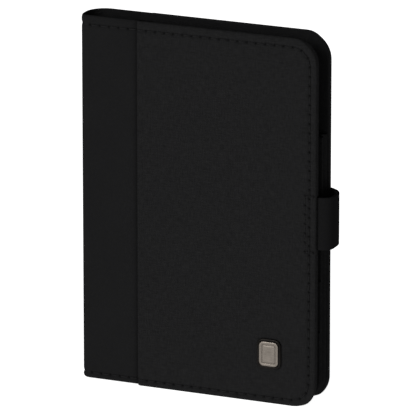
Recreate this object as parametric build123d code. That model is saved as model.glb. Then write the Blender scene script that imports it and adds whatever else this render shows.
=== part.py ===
from build123d import *
import os
from math import degrees

# Passport holder wallet, standing on its lower edge with its spine on the left and its front cover facing -Y.
# While it is laid out, X runs from the spine's outer side to the fore-edge, Y from the front fabric's face to
# the back, and Z up from the lower edge. Each piece is moved to the middle of the whole outline when written.
# All lengths are in millimetres and all angles in degrees.

# --- whole wallet ---
height = 144.0
cover_width = 97.5
closed_depth = 14.9
corner_radius = 10.0

# --- layers of one cover, counted inwards from its outer face ---
fabric_thickness = 0.6
wrap_step = 0.5
wrap_thickness = 0.6
padding_thickness = 0.5
board_thickness = 1.2
lining_thickness = 0.5
turned_edge = 0.6
lining_inset = 0.3
front_core_left = 5.0
back_core_left = 8.6
seam_x = 24.0
wrap_lap = 6.0

# --- spine ---
front_fold_radius = 3.5
back_fold_radius = 8.0
fold_gap_angle = 1.0
spine_lining_thickness = 0.5
spine_lining_gap = 0.1

# --- pockets ---
pocket_left = 4.0
pocket_inset = 0.5
pocket_side_wall = 1.0
pocket_fore_wall = 3.5
pocket_bottom_wall = 3.5
passport_depth = 4.5
passport_pocket_top = 105.0
passport_panel_thickness = 0.6
slot_panel_thickness = 0.5
slot_gap = 0.1
slot_seam_width = 2.5
card_slot_tops = {"card_slot_upper": 69.0, "card_slot_lower": 49.0, "short_pocket": 29.0}
slip_pocket_left = 14.0
slip_panel_thickness = 0.4

# --- strap ---
strap_middle_z = 72.7
strap_width = 20.5
strap_outer_thickness = 0.7
strap_lining_thickness = 0.5
strap_root_length = 15.0
strap_exit = 0.3
first_bend_radius = 3.6
second_bend_radius = 7.2
flap_clearance = 1.7
flap_tip_x = 77.0
flap_tip_radius = 6.0
strap_gap = 0.3

# --- snap fastener ---
snap_x = 85.0
stud_base_radius = 5.0
stud_base_thickness = 0.5
stud_radius = 1.9
stud_height = 0.9
post_head_radius = 4.0
post_head_thickness = 0.4
post_radius = 1.2
post_clearance = 0.05
socket_radius = 4.8
socket_bore = 2.1
socket_clearance = 0.2
cap_radius = 6.0
cap_rise = 1.0
cap_shank_radius = 1.7
cap_shank_clearance = 0.05

# --- plaque near the front cover's lower corner ---
plaque_x = 78.5
plaque_z = 19.8
bezel_width = 9.9
bezel_height = 11.9
bezel_corner = 2.6
bezel_proud = 0.7
plate_width = 7.8
plate_height = 9.6
plate_corner = 1.8
plate_proud = 0.9
plate_seat = 0.3
groove_inset = 1.0
groove_width = 0.4
groove_depth = 0.2
prong_radius = 0.6
prong_spacing = 6.0
prong_clearance = 0.05
washer_width = 5.0
washer_height = 9.0
washer_thickness = 0.3

# --- where the layers of the front cover lie, front to back ---
front_wrap_y = wrap_step
front_padding_y = fabric_thickness
front_board_y = front_padding_y + padding_thickness
front_lining_y = front_board_y + board_thickness
slip_pocket_y = front_lining_y + lining_thickness

# --- where the layers of the back cover lie, back to front ---
back_fabric_y = closed_depth - fabric_thickness
back_wrap_y = closed_depth - wrap_step
back_padding_y = back_fabric_y - padding_thickness
back_board_y = back_padding_y - board_thickness
back_lining_y = back_board_y - lining_thickness
passport_panel_y = back_lining_y - passport_depth

# --- the strap's middle line in plan: out of the cover, round the fore-edge and back along the back cover ---
strap_thickness = strap_outer_thickness + strap_lining_thickness
root_end_x = cover_width + strap_exit
root_middle_y = front_board_y + strap_thickness / 2
flap_inner_y = closed_depth + flap_clearance
flap_middle_y = flap_inner_y + strap_thickness / 2
side_middle_x = root_end_x + first_bend_radius
first_bend_centre = (root_end_x, root_middle_y + first_bend_radius)
second_bend_centre = (side_middle_x - second_bend_radius, flap_middle_y - second_bend_radius)

# --- edges and centres that several pieces share ---
strap_bottom = strap_middle_z - strap_width / 2
strap_top = strap_middle_z + strap_width / 2
pocket_right = cover_width - pocket_inset
pocket_corner = corner_radius - pocket_inset
front_fold_centre = (front_fold_radius, front_wrap_y + front_fold_radius)
back_fold_centre = (back_fold_radius, back_wrap_y - back_fold_radius)
front_fold_inner = front_fold_radius - wrap_thickness
back_fold_inner = back_fold_radius - wrap_thickness
half_fold = 45 - fold_gap_angle / 2

# --- middle of the whole outline ---
overall_right = side_middle_x + strap_thickness / 2
overall_front = -plate_proud
overall_back = flap_inner_y + strap_thickness + cap_rise
origin_x = overall_right / 2
origin_y = (overall_front + overall_back) / 2


def slab(left, right, bottom, top, front, back, corner=0.0):
    """A flat layer with its two fore-edge corners rounded."""
    outline = Pos((left + right) / 2, (bottom + top) / 2) * Rectangle(right - left, top - bottom)
    if corner > 0:
        outline = fillet(outline.vertices().group_by(Axis.X)[-1], corner)
    return Pos(0, back, 0) * Rot(90, 0, 0) * extrude(outline, back - front)


def rounded_slab(x, z, width, tall, front, back, corner):
    """A flat plate about the point x, z, with all four corners rounded."""
    outline = Pos(x, z) * RectangleRounded(width, tall, corner)
    return Pos(0, back, 0) * Rot(90, 0, 0) * extrude(outline, back - front)


def disc(x, z, radius, front, back):
    """A round plate or shank that runs from front to back."""
    return Pos(x, (front + back) / 2, z) * Rot(90, 0, 0) * Cylinder(radius, back - front)


def bent_plate(centre, inner, outer, start, sweep, bottom, top):
    """A curved plate: part of a ring in plan, from the angle start through sweep."""
    far = CenterArc(centre, outer, start, sweep)
    near = CenterArc(centre, inner, start, sweep)
    ends = [Line(far @ 0, near @ 0), Line(far @ 1, near @ 1)]
    return Pos(0, 0, bottom) * extrude(make_face([far, near, *ends]), top - bottom)


def fabric_panel(outer, inner, edge_back):
    """A cover's woven outer panel, turned over the board's edge on its three outer sides."""
    skin = slab(seam_x, cover_width, 0, height, min(outer, inner), max(outer, inner), corner_radius)
    depth = (min(inner, edge_back), max(inner, edge_back))
    turned = slab(seam_x, cover_width, 0, height, *depth, corner_radius)
    core_corner = corner_radius - turned_edge
    core_right = cover_width - turned_edge
    turned -= slab(seam_x - 1, core_right, turned_edge, height - turned_edge, *depth, core_corner)
    return skin + turned


def wrap_panel(outer, under_fabric, inner, edge_back, fold_x):
    """The smooth wrap where it lies on a cover: from the fold to the seam, with a lap under the fabric."""
    open_part = slab(fold_x, seam_x, 0, height, min(outer, inner), max(outer, inner))
    lap_depth = (min(under_fabric, inner), max(under_fabric, inner))
    lap_right = seam_x + wrap_lap
    lap = slab(seam_x, lap_right, turned_edge, height - turned_edge, *lap_depth)
    depth = (min(inner, edge_back), max(inner, edge_back))
    lower = slab(fold_x, seam_x, 0, turned_edge, *depth)
    upper = slab(fold_x, seam_x, height - turned_edge, height, *depth)
    return open_part + lap + lower + upper


def core_layer(left, front, back):
    """Board or padding, inside the turned edges."""
    corner = corner_radius - turned_edge
    return slab(
        left, cover_width - turned_edge, turned_edge, height - turned_edge, front, back, corner
    )


def lining(front, back):
    """A cover's inner lining, set in a little from its edge."""
    corner = corner_radius - lining_inset
    top = height - lining_inset
    right = cover_width - lining_inset
    return slab(front_core_left, right, lining_inset, top, front, back, corner)


def make_back_cover():
    shank = disc(snap_x, strap_middle_z, post_radius + post_clearance, back_board_y, closed_depth)
    head = disc(
        snap_x, strap_middle_z, post_head_radius, back_board_y, back_board_y + post_head_thickness
    )
    fabric = fabric_panel(closed_depth, back_fabric_y, back_board_y)
    padding = core_layer(seam_x + wrap_lap, back_padding_y, back_fabric_y)
    board = core_layer(back_core_left, back_board_y, back_padding_y)
    wrap = wrap_panel(
        back_wrap_y, back_fabric_y, back_padding_y, back_board_y, back_fold_radius
    )
    wrap += bent_plate(
        back_fold_centre, back_fold_inner, back_fold_radius, 90, half_fold, 0, height
    )
    return {
        "back_fabric_panel": fabric - shank,
        "back_padding": padding - shank,
        "back_board": board - shank - head,
        "back_lining": lining(back_lining_y, back_board_y),
        "spine_wrap_back": wrap,
    }


def make_passport_pocket():
    outer = slab(
        pocket_left,
        pocket_right,
        pocket_inset,
        passport_pocket_top,
        passport_panel_y,
        back_lining_y,
    )
    lower_corner = outer.edges().filter_by(Axis.Y).group_by(Axis.Z)[0].sort_by(Axis.X)[-1]
    outer = fillet(lower_corner, pocket_corner)
    space = slab(
        pocket_left + pocket_side_wall,
        pocket_right - pocket_fore_wall,
        pocket_inset + pocket_bottom_wall,
        passport_pocket_top + 1,
        passport_panel_y,
        back_lining_y,
    )
    return {
        "passport_pocket_gusset": outer - space,
        "passport_pocket_panel": low_panel(
            passport_pocket_top, passport_panel_y - passport_panel_thickness, passport_panel_y
        ),
    }


def low_panel(top, front, back):
    """A panel as wide as the pocket, up to the height top, with its lower fore-edge corner rounded."""
    panel = slab(pocket_left, pocket_right, pocket_inset, top, front, back)
    corner = panel.edges().filter_by(Axis.Y).group_by(Axis.Z)[0].sort_by(Axis.X)[-1]
    return fillet(corner, pocket_corner)


def make_card_slots():
    """Each slot is a panel sewn along both sides and its lower edge, one in front of the other."""
    slots = {}
    back = passport_panel_y - passport_panel_thickness
    for name, top in card_slot_tops.items():
        panel_back = back - slot_gap
        panel_front = panel_back - slot_panel_thickness
        seam = low_panel(top, panel_back, back)
        seam -= slab(
            pocket_left + slot_seam_width,
            pocket_right - slot_seam_width,
            pocket_inset + slot_seam_width,
            top + 1,
            panel_back,
            back,
            pocket_corner - slot_seam_width,
        )
        slots[name] = low_panel(top, panel_front, panel_back) + seam
        back = panel_front
    return slots


def make_spine():
    front_y = front_fold_centre[1]
    back_y = back_fold_centre[1]
    middle = slab(0, wrap_thickness, 0, height, front_y, back_y)
    middle += bent_plate(
        front_fold_centre, front_fold_inner, front_fold_radius, 180, half_fold, 0, height
    )
    middle += bent_plate(
        back_fold_centre, back_fold_inner, back_fold_radius, 180 - half_fold, half_fold, 0, height
    )
    inner = wrap_thickness + spine_lining_gap
    return {
        "spine_wrap_middle": middle,
        "spine_lining": slab(
            inner,
            inner + spine_lining_thickness,
            turned_edge,
            height - turned_edge,
            front_y,
            back_y,
        ),
    }


def make_front_cover():
    notch = slab(
        cover_width - strap_root_length,
        cover_width,
        strap_bottom,
        strap_top,
        front_board_y,
        front_lining_y,
    )
    prong_heights = [plaque_z - prong_spacing / 2, plaque_z + prong_spacing / 2]
    prong_end = front_lining_y - washer_thickness
    holes = [
        disc(plaque_x, z, prong_radius + prong_clearance, 0, prong_end) for z in prong_heights
    ]
    prongs = [disc(plaque_x, z, prong_radius, 0, prong_end) for z in prong_heights]
    washer = slab(
        plaque_x - washer_width / 2,
        plaque_x + washer_width / 2,
        plaque_z - washer_height / 2,
        plaque_z + washer_height / 2,
        prong_end,
        front_lining_y,
    )
    bezel = rounded_slab(
        plaque_x, plaque_z, bezel_width, bezel_height, -bezel_proud, 0, bezel_corner
    )
    bezel -= rounded_slab(
        plaque_x, plaque_z, plate_width, plate_height, -bezel_proud, -plate_seat, plate_corner
    )
    plate = rounded_slab(
        plaque_x, plaque_z, plate_width, plate_height, -plate_proud, -plate_seat, plate_corner
    )
    groove_depth_y = (-plate_proud, -plate_proud + groove_depth)
    outer_groove = rounded_slab(
        plaque_x,
        plaque_z,
        plate_width - 2 * groove_inset,
        plate_height - 2 * groove_inset,
        *groove_depth_y,
        plate_corner - groove_inset / 2,
    )
    inner_groove = rounded_slab(
        plaque_x,
        plaque_z,
        plate_width - 2 * groove_inset - 2 * groove_width,
        plate_height - 2 * groove_inset - 2 * groove_width,
        *groove_depth_y,
        plate_corner - groove_inset / 2 - groove_width,
    )
    wrap = wrap_panel(
        front_wrap_y, front_padding_y, front_board_y, front_lining_y, front_fold_radius
    )
    wrap += bent_plate(
        front_fold_centre,
        front_fold_inner,
        front_fold_radius,
        270 - half_fold,
        half_fold,
        0,
        height,
    )
    slip_back = slip_pocket_y + slot_gap
    slip_edges = (pocket_right, pocket_inset, height - pocket_inset)
    slip_seam = slab(
        slip_pocket_left, *slip_edges, slip_pocket_y, slip_back, pocket_corner
    ) - slab(
        slip_pocket_left,
        pocket_right - slot_seam_width,
        pocket_inset + slot_seam_width,
        height - pocket_inset - slot_seam_width,
        slip_pocket_y,
        slip_back,
        pocket_corner - slot_seam_width,
    )
    slip_panel = slab(
        slip_pocket_left,
        *slip_edges,
        slip_back,
        slip_back + slip_panel_thickness,
        pocket_corner,
    )
    board = core_layer(front_core_left, front_board_y, front_lining_y)
    return {
        "front_fabric_panel": fabric_panel(0, front_padding_y, front_lining_y) - notch - holes,
        "front_padding": core_layer(seam_x + wrap_lap, front_padding_y, front_board_y) - holes,
        "front_board": board - notch - holes - washer,
        "front_lining": lining(front_lining_y, slip_pocket_y),
        "spine_wrap_front": wrap,
        "front_slip_pocket": slip_panel + slip_seam,
        "emblem_bezel": bezel + prongs,
        "emblem_plate": plate - (outer_groove - inner_groove),
        "emblem_washer": washer - disc(plaque_x, plaque_z, prong_radius, prong_end, front_lining_y),
    }


def strap_layer(offset_in, offset_out, gap_in_degrees):
    """One layer of the strap, between two offsets from its middle line, outwards positive.
    Returns its three stretches: the one sewn in the cover, the one round the fore-edge, and the flap."""
    span = (strap_bottom, strap_top)
    first_bend = (first_bend_centre, first_bend_radius + offset_in, first_bend_radius + offset_out)
    second_bend = (
        second_bend_centre,
        second_bend_radius + offset_in,
        second_bend_radius + offset_out,
    )
    first_gap, second_gap = gap_in_degrees

    root = slab(
        cover_width - strap_root_length,
        root_end_x,
        *span,
        root_middle_y - offset_out,
        root_middle_y - offset_in,
    )
    root += bent_plate(*first_bend, -90, 45 - first_gap, *span)

    bend = bent_plate(*first_bend, -45 + first_gap, 45 - first_gap, *span)
    bend += slab(
        side_middle_x + offset_in,
        side_middle_x + offset_out,
        *span,
        first_bend_centre[1],
        second_bend_centre[1],
    )
    bend += bent_plate(*second_bend, 0, 45 - second_gap, *span)

    flap = bent_plate(*second_bend, 45 + second_gap, 45 - second_gap, *span)
    flat = slab(
        flap_tip_x,
        second_bend_centre[0],
        *span,
        flap_middle_y + offset_in,
        flap_middle_y + offset_out,
    )
    flat = fillet(flat.edges().filter_by(Axis.Y).group_by(Axis.X)[0], flap_tip_radius)
    return root, bend, flap + flat


def make_strap():
    half = strap_thickness / 2
    split = strap_lining_thickness - half
    gaps = [degrees(strap_gap / 2 / radius) for radius in (first_bend_radius, second_bend_radius)]
    outer = strap_layer(split, half, gaps)
    inner = strap_layer(-half, split, gaps)
    shank_hole = disc(
        snap_x,
        strap_middle_z,
        cap_shank_radius + cap_shank_clearance,
        flap_inner_y,
        flap_inner_y + strap_thickness,
    )
    return {
        "strap_outer_root": outer[0],
        "strap_outer_bend": outer[1],
        "strap_outer_flap": outer[2] - shank_hole,
        "strap_lining_root": inner[0],
        "strap_lining_bend": inner[1],
        "strap_lining_flap": inner[2] - shank_hole,
    }


def make_snap():
    flap_outer_y = flap_inner_y + strap_thickness
    stud_y = closed_depth + stud_base_thickness
    stud = disc(snap_x, strap_middle_z, stud_base_radius, closed_depth, stud_y)
    stud += disc(snap_x, strap_middle_z, stud_radius, stud_y, stud_y + stud_height)
    stud -= disc(snap_x, strap_middle_z, post_radius, closed_depth, stud_y)
    post = disc(snap_x, strap_middle_z, post_radius, back_board_y, stud_y)
    post += disc(
        snap_x, strap_middle_z, post_head_radius, back_board_y, back_board_y + post_head_thickness
    )
    socket_front = stud_y + socket_clearance
    socket = disc(snap_x, strap_middle_z, socket_radius, socket_front, flap_inner_y)
    socket -= disc(snap_x, strap_middle_z, socket_bore, socket_front, flap_inner_y)
    cap_sphere = (cap_radius**2 + cap_rise**2) / (2 * cap_rise)
    dome = Pos(snap_x, flap_outer_y + cap_rise - cap_sphere, strap_middle_z) * Sphere(cap_sphere)
    dome &= disc(snap_x, strap_middle_z, cap_radius, flap_outer_y, flap_outer_y + cap_rise)
    cap = dome + disc(snap_x, strap_middle_z, cap_shank_radius, flap_inner_y, flap_outer_y)
    return {"snap_stud": stud, "snap_post": post, "snap_socket": socket, "snap_cap": cap}


pieces = {}
for group in (
    make_back_cover(),
    make_passport_pocket(),
    make_card_slots(),
    make_spine(),
    make_front_cover(),
    make_strap(),
    make_snap(),
):
    pieces.update(group)

os.makedirs("parts", exist_ok=True)
for name, piece in pieces.items():
    export_step(Pos(-origin_x, -origin_y, 0) * piece, f"parts/{name}.step")
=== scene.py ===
"""Passport holder wallet: detailed pieces, materials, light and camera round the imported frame.

While a piece is laid out its points are in millimetres: X from the spine's outer side, Y from the front
cover's face to the back, Z up from the lower edge. place() moves them into the frame, in metres.
"""

import math

import bmesh
import bpy
import numpy as np
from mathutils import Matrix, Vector


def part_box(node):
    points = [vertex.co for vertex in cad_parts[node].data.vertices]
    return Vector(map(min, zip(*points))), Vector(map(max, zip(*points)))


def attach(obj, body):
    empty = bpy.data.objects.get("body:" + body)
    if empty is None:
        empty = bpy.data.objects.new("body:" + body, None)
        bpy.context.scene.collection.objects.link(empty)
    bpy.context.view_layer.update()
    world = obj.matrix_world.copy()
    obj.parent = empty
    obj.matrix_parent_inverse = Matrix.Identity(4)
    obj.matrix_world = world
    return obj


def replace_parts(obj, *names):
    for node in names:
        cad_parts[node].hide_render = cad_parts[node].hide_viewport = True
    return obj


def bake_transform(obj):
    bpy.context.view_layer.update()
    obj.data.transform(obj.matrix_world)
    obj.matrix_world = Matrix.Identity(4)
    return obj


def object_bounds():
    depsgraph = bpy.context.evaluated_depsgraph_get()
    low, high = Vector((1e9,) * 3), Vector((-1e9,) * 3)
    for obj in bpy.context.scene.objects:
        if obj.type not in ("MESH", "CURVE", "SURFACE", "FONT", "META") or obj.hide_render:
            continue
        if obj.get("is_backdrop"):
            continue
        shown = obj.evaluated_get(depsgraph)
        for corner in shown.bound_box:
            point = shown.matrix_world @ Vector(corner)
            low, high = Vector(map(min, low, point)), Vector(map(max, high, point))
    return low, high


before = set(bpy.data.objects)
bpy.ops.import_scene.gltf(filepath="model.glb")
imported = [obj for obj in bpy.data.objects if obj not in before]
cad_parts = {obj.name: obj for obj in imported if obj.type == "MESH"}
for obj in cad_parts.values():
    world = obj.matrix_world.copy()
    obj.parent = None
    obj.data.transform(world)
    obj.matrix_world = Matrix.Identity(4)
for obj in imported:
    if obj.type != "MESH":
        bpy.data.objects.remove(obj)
cad_low, cad_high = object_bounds()

MM = 0.001
UV_MM = 10.0

# --- the frame's own measures, in millimetres from the spine's side and the front face ---
ORIGIN = np.array([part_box("spine_wrap_middle")[0].x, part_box("front_fabric_panel")[0].y, 0.0])


def span(node):
    """Lowest and highest corner of a CAD node, in millimetres."""
    low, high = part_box(node)
    return (np.array(low) - ORIGIN) / MM, (np.array(high) - ORIGIN) / MM


fabric_low, fabric_high = span("front_fabric_panel")
HEIGHT = fabric_high[2]
MIDDLE = HEIGHT / 2
RIGHT = fabric_high[0]
SEAM = fabric_low[0]
DEPTH = span("back_fabric_panel")[1][1]
WRAP_FRONT = span("spine_wrap_front")[0][1]
WRAP_BACK = span("spine_wrap_back")[1][1]
SPINE_FRONT = span("spine_lining")[0][1]
SPINE_BACK = span("spine_lining")[1][1]
SPINE_CUT = (SPINE_FRONT + SPINE_BACK) / 2
FRONT_LINING = span("front_lining")[0][1]
BACK_LINING = span("back_lining")[1][1]
LINING_X = span("spine_lining")[0][0]
LINING_THICK = span("front_lining")[1][1] - FRONT_LINING
CORNER = 10.0

# --- sewing: the steps count points between one needle hole and the next ---
STITCH_INSET = 3.0
PER_STITCH = 6
STRAIGHT_STEPS = 17 * PER_STITCH
CORNER_STEPS = 3 * PER_STITCH
SIDE_STEPS = 34 * PER_STITCH
FRONT_WRAP_STEPS = 7 * PER_STITCH
BACK_WRAP_STEPS = 8 * PER_STITCH
THREAD = 0.26
INNER_PITCH = 3.3
HEM_INSET = 2.1
HOLE_WIDTH = 0.5
SEWN_SHIFT = 0.55

COVERS = {
    "front": {"sign": 1.0, "face": 0.0, "trim": 0.3, "wrap": WRAP_FRONT, "lining": FRONT_LINING,
              "spine": SPINE_FRONT},
    "back": {"sign": -1.0, "face": DEPTH, "trim": 0.0, "wrap": WRAP_BACK, "lining": BACK_LINING,
             "spine": SPINE_BACK},
}
# Where each sheet's fold round the spine begins, and its radius.
for cover in COVERS.values():
    wrap_radius, lining_radius = (abs(cover["spine"] - cover[sheet]) for sheet in ("wrap", "lining"))
    cover["wrap_fold"] = {"x": wrap_radius, "radius": wrap_radius}
    cover["lining_fold"] = {"x": LINING_X + lining_radius, "radius": lining_radius}


# ---------------- materials
class Nodes:
    """A material's node tree, with short ways to add and join nodes."""

    def __init__(self, name):
        self.material = bpy.data.materials.new(name)
        self.material.use_nodes = True
        self.tree = self.material.node_tree
        self.shader = self.tree.nodes["Principled BSDF"]

    def add(self, kind, inputs=(), **settings):
        node = self.tree.nodes.new(kind)
        for key, value in settings.items():
            setattr(node, key, value)
        for key, value in dict(inputs).items():
            if isinstance(value, bpy.types.NodeSocket):
                self.tree.links.new(value, node.inputs[key])
            else:
                node.inputs[key].default_value = value
        return node

    def surface(self, scale):
        """Places on the piece's own cut pattern, in units of 10 mm, stretched by scale."""
        uv = self.add("ShaderNodeUVMap", uv_map="wallet")
        return self.stretched(uv.outputs[0], scale)

    def solid(self, scale):
        """Places in the piece's own space, for metal."""
        coordinates = self.add("ShaderNodeTexCoord")
        return self.stretched(coordinates.outputs["Object"], scale)

    def stretched(self, vector, scale):
        node = self.add("ShaderNodeMapping", {"Vector": vector, "Scale": scale})
        return node.outputs[0]

    def noise(self, vector, scale, detail=2.0, roughness=0.5):
        inputs = {"Vector": vector, "Scale": scale, "Detail": detail, "Roughness": roughness}
        return self.add("ShaderNodeTexNoise", inputs).outputs["Fac"]

    def wave(self, vector, scale, direction, **more):
        inputs = {"Vector": vector, "Scale": scale, **{key.replace("_", " "): v for key, v in more.items()}}
        return self.add("ShaderNodeTexWave", inputs, bands_direction=direction).outputs["Fac"]

    def math(self, operation, a, b=0.0):
        return self.add("ShaderNodeMath", {0: a, 1: b}, operation=operation).outputs[0]

    def remap(self, value, low, high, to_low, to_high):
        inputs = {"Value": value, "From Min": low, "From Max": high, "To Min": to_low, "To Max": to_high}
        return self.add("ShaderNodeMapRange", inputs).outputs["Result"]

    def darken_holes_paint_shade(self, colour):
        """The colour, near black in the needle holes, with painted shade in the dips round them and, on the
        wrap, in the seam crease.
        """
        mask = self.add("ShaderNodeAttribute", attribute_name="needle_hole_and_painted_shade").outputs["Fac"]
        node = self.add("ShaderNodeMix", data_type="RGBA")
        self.tree.links.new(self.math("MULTIPLY", mask, 0.9), node.inputs[0])
        self.tree.links.new(colour, node.inputs[6])
        node.inputs[7].default_value = (0.001, 0.001, 0.001, 1)
        return node.outputs[2]

    def tint(self, factor, dark, light):
        node = self.add("ShaderNodeMix", data_type="RGBA")
        self.tree.links.new(factor, node.inputs[0])
        node.inputs[6].default_value = (*dark, 1)
        node.inputs[7].default_value = (*light, 1)
        return node.outputs[2]

    def bump(self, height, distance, strength=1.0, under=None):
        inputs = {"Height": height, "Distance": distance, "Strength": strength}
        if under is not None:
            inputs["Normal"] = under
        return self.add("ShaderNodeBump", inputs).outputs["Normal"]

    def set(self, **values):
        for key, value in values.items():
            socket = self.shader.inputs[key.replace("_", " ")]
            if isinstance(value, bpy.types.NodeSocket):
                self.tree.links.new(value, socket)
            else:
                socket.default_value = value
        return self.material


def woven(name, dark, light, pitch, relief, rough, specular):
    """Cloth woven from two sets of threads of uneven tone."""
    n = Nodes(name)
    scale = UV_MM / pitch / 2.0
    place = n.surface((1, 1, 1))
    weave = n.math("MAXIMUM", *(n.wave(place, scale, way, Distortion=0.6, Detail_Scale=3.0) for way in "XY"))
    warp = n.noise(n.surface((14.0, 2.2, 1)), 1.5, 2.0, 0.6)
    weft = n.noise(n.surface((2.2, 14.0, 1)), 1.5, 2.0, 0.6)
    streaks = n.math("MULTIPLY", n.math("ADD", warp, weft), 0.5)
    cloud = n.noise(place, 0.8, 2.0, 0.5)
    tone = n.math("ADD", n.math("MULTIPLY", streaks, 0.95), n.math("MULTIPLY", weave, 0.15))
    tone = n.math("ADD", tone, n.math("MULTIPLY", cloud, 0.06))
    # Darker at the needle holes, with painted shade round them.
    colour = n.darken_holes_paint_shade(n.tint(n.remap(tone, 0.44, 0.82, 0.0, 1.0), dark, light))
    roughness = n.remap(streaks, 0.3, 0.7, rough - 0.06, rough + 0.06)
    threads = n.bump(weave, relief * MM)
    normal = n.bump(streaks, 0.6 * relief * MM, under=threads)
    return n.set(Base_Color=colour, Roughness=roughness, Normal=normal, Specular_IOR_Level=specular)


def leather(name, dark, light, grain, relief, rough, specular):
    """Coated leather with fine rounded grain, faint creases and uneven polish."""
    n = Nodes(name)
    place = n.surface((1, 1, 1))
    cells = n.add("ShaderNodeTexVoronoi", {"Vector": place, "Scale": UV_MM / grain, "Randomness": 0.95},
                  feature="SMOOTH_F1").outputs["Distance"]
    fine = n.noise(place, UV_MM / grain * 2.6, 3.0, 0.6)
    creases = n.noise(n.surface((3.0, 0.35, 1)), 1.3, 4.0, 0.62)
    cloud = n.noise(place, 0.4, 2.0, 0.5)
    tone = n.math("ADD", n.math("MULTIPLY", cloud, 0.3), n.math("MULTIPLY", cells, 0.5))
    # Darker at the needle holes, with painted shade round them.
    colour = n.darken_holes_paint_shade(n.tint(n.remap(tone, 0.1, 0.7, 0.0, 1.0), dark, light))
    polish = n.math("ADD", cloud, n.math("MULTIPLY", fine, 0.4))
    roughness = n.remap(polish, 0.4, 1.0, rough - 0.05, rough + 0.09)
    grains = n.bump(n.math("ADD", cells, n.math("MULTIPLY", fine, 0.4)), relief * MM)
    normal = n.bump(creases, 1.6 * relief * MM, under=grains)
    return n.set(Base_Color=colour, Roughness=roughness, Normal=normal, Specular_IOR_Level=specular)


def thread(name, dark, light):
    """Twisted sewing thread."""
    n = Nodes(name)
    twist = n.wave(n.surface((1, 1, 1)), 14.0, "DIAGONAL", Distortion=0.3)
    fluff = n.noise(n.surface((1, 1, 1)), 60.0, 2.0, 0.6)
    tone = n.math("MULTIPLY", n.math("ADD", twist, fluff), 0.5)
    return n.set(Base_Color=n.tint(tone, dark, light), Roughness=n.remap(fluff, 0.2, 0.8, 0.7, 0.9),
                 Normal=n.bump(twist, 0.05 * MM), Specular_IOR_Level=0.0)


def metal(name, dark, light, rough, stretch, polish=0.08):
    """Plated or brushed metal with fine directional scratches."""
    n = Nodes(name)
    scratches = n.noise(n.solid(stretch), 1.0, 4.0, 0.7)
    patches = n.noise(n.solid((1, 1, 1)), 260.0, 3.0, 0.55)
    tone = n.math("ADD", n.math("MULTIPLY", scratches, 0.6), n.math("MULTIPLY", patches, 0.4))
    colour = n.tint(n.remap(tone, 0.3, 0.7, 0.0, 1.0), dark, light)
    roughness = n.remap(tone, 0.3, 0.7, rough - polish, rough + polish)
    return n.set(Base_Color=colour, Roughness=roughness, Metallic=1.0, Normal=n.bump(scratches, 0.01 * MM))


def fibrous(name, dark, light, scale, relief):
    """Paperboard or foam: matt, with specks and small pores."""
    n = Nodes(name)
    specks = n.noise(n.solid((1, 1, 1)), scale, 5.0, 0.7)
    pores = n.add("ShaderNodeTexVoronoi", {"Vector": n.solid((1, 1, 1)), "Scale": scale}).outputs["Distance"]
    tone = n.math("MULTIPLY", n.math("ADD", specks, pores), 0.5)
    return n.set(Base_Color=n.tint(n.remap(tone, 0.25, 0.65, 0.0, 1.0), dark, light),
                 Roughness=n.remap(specks, 0.3, 0.7, 0.85, 0.97), Normal=n.bump(tone, relief * MM),
                 Specular_IOR_Level=0.2)


FABRIC = woven("woven_fabric", (0.0076, 0.0076, 0.0078), (0.0143, 0.0143, 0.0146), 0.5, 0.05, 0.9, 0.0)
LINING = woven("lining_fabric", (0.0060, 0.0060, 0.0062), (0.0108, 0.0108, 0.0111), 0.3, 0.03, 0.9, 0.0)
# The strap's lining: the lining cloth made lighter, as painted light in the strap's shaded inside.
STRAP_LINING_PAINTED_LIGHT = woven("strap_lining", (0.0150, 0.0150, 0.0154), (0.0260, 0.0260, 0.0265), 0.3, 0.03, 0.9, 0.0)
STRAP_SKIN = leather("strap_wrap", (0.0057, 0.0057, 0.0059), (0.0084, 0.0084, 0.0087), 0.5, 0.018, 0.7, 0.0)
WRAP = leather("smooth_wrap", (0.0072, 0.0072, 0.0074), (0.0106, 0.0106, 0.0109), 0.5, 0.018, 0.7, 0.0)
POCKET = leather("pocket_leather", (0.0061, 0.0061, 0.0063), (0.0104, 0.0104, 0.0107), 0.8, 0.04, 0.7, 0.0)
THREAD_FINISH = thread("sewing_thread", (0.0088, 0.0088, 0.0090), (0.0150, 0.0150, 0.0153))
SNAP = metal("snap_metal", (0.030, 0.029, 0.029), (0.060, 0.058, 0.057), 0.34, (900, 900, 900))
BEZEL = metal("bezel_metal", (0.006, 0.0055, 0.005), (0.014, 0.0125, 0.0115), 0.45, (700, 700, 700))
PLATE = metal("plate_metal", (0.12, 0.105, 0.09), (0.22, 0.195, 0.17), 0.42, (300, 300, 4200))
BOARD = fibrous("grey_board", (0.24, 0.22, 0.20), (0.38, 0.36, 0.33), 900.0, 0.03)
FOAM = fibrous("foam_padding", (0.05, 0.05, 0.053), (0.11, 0.11, 0.115), 1600.0, 0.08)


# ---------------- mesh making
def place(points):
    """Places in the frame, in metres."""
    return np.asarray(points, float).reshape(-1, 3) * MM + ORIGIN


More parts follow.
